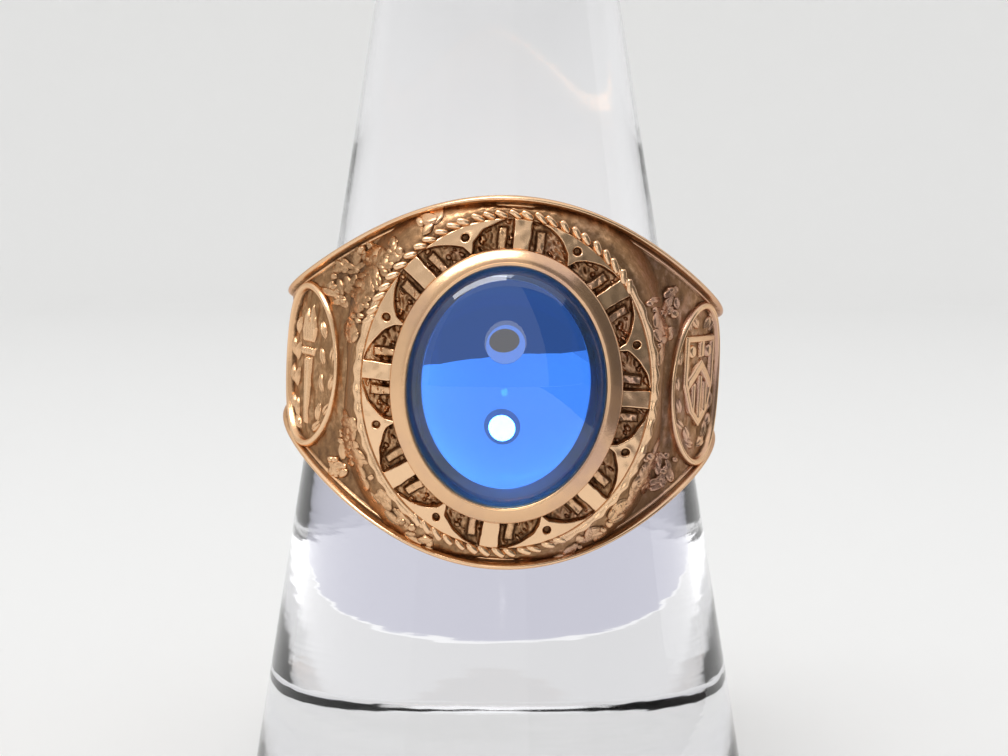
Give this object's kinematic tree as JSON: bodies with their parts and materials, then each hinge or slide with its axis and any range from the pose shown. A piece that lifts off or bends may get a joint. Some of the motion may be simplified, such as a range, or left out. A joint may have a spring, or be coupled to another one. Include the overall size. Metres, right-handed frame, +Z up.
{
  "type": "class ring on a cone stand",
  "caption": "Heavy gold class ring with an oval blue cabochon in a smooth collar, an arcaded head with a rope border and oval side panels, shown upright on a plain clear cone.",
  "frame": {"origin": "centre of the display cone's foot, on the surface that it stands on", "axes": "+Z up along the cone's axis, -Y towards the viewer of the ring's head, +X to the viewer's right"},
  "size_m": [0.0258, 0.0279, 0.064],
  "materials": {
    "gold": "polished yellow-rose gold with dark antiqued recesses and softly worn edges",
    "blue_stone": "polished transparent blue stone with a mirror-bright flat back",
    "clear_acrylic": "clear polished acrylic with light scuffs"
  },
  "bodies": {
    "root": {"casting": "gold", "stone": "blue_stone", "display_cone": "clear_acrylic"}
  },
  "joints": []
}
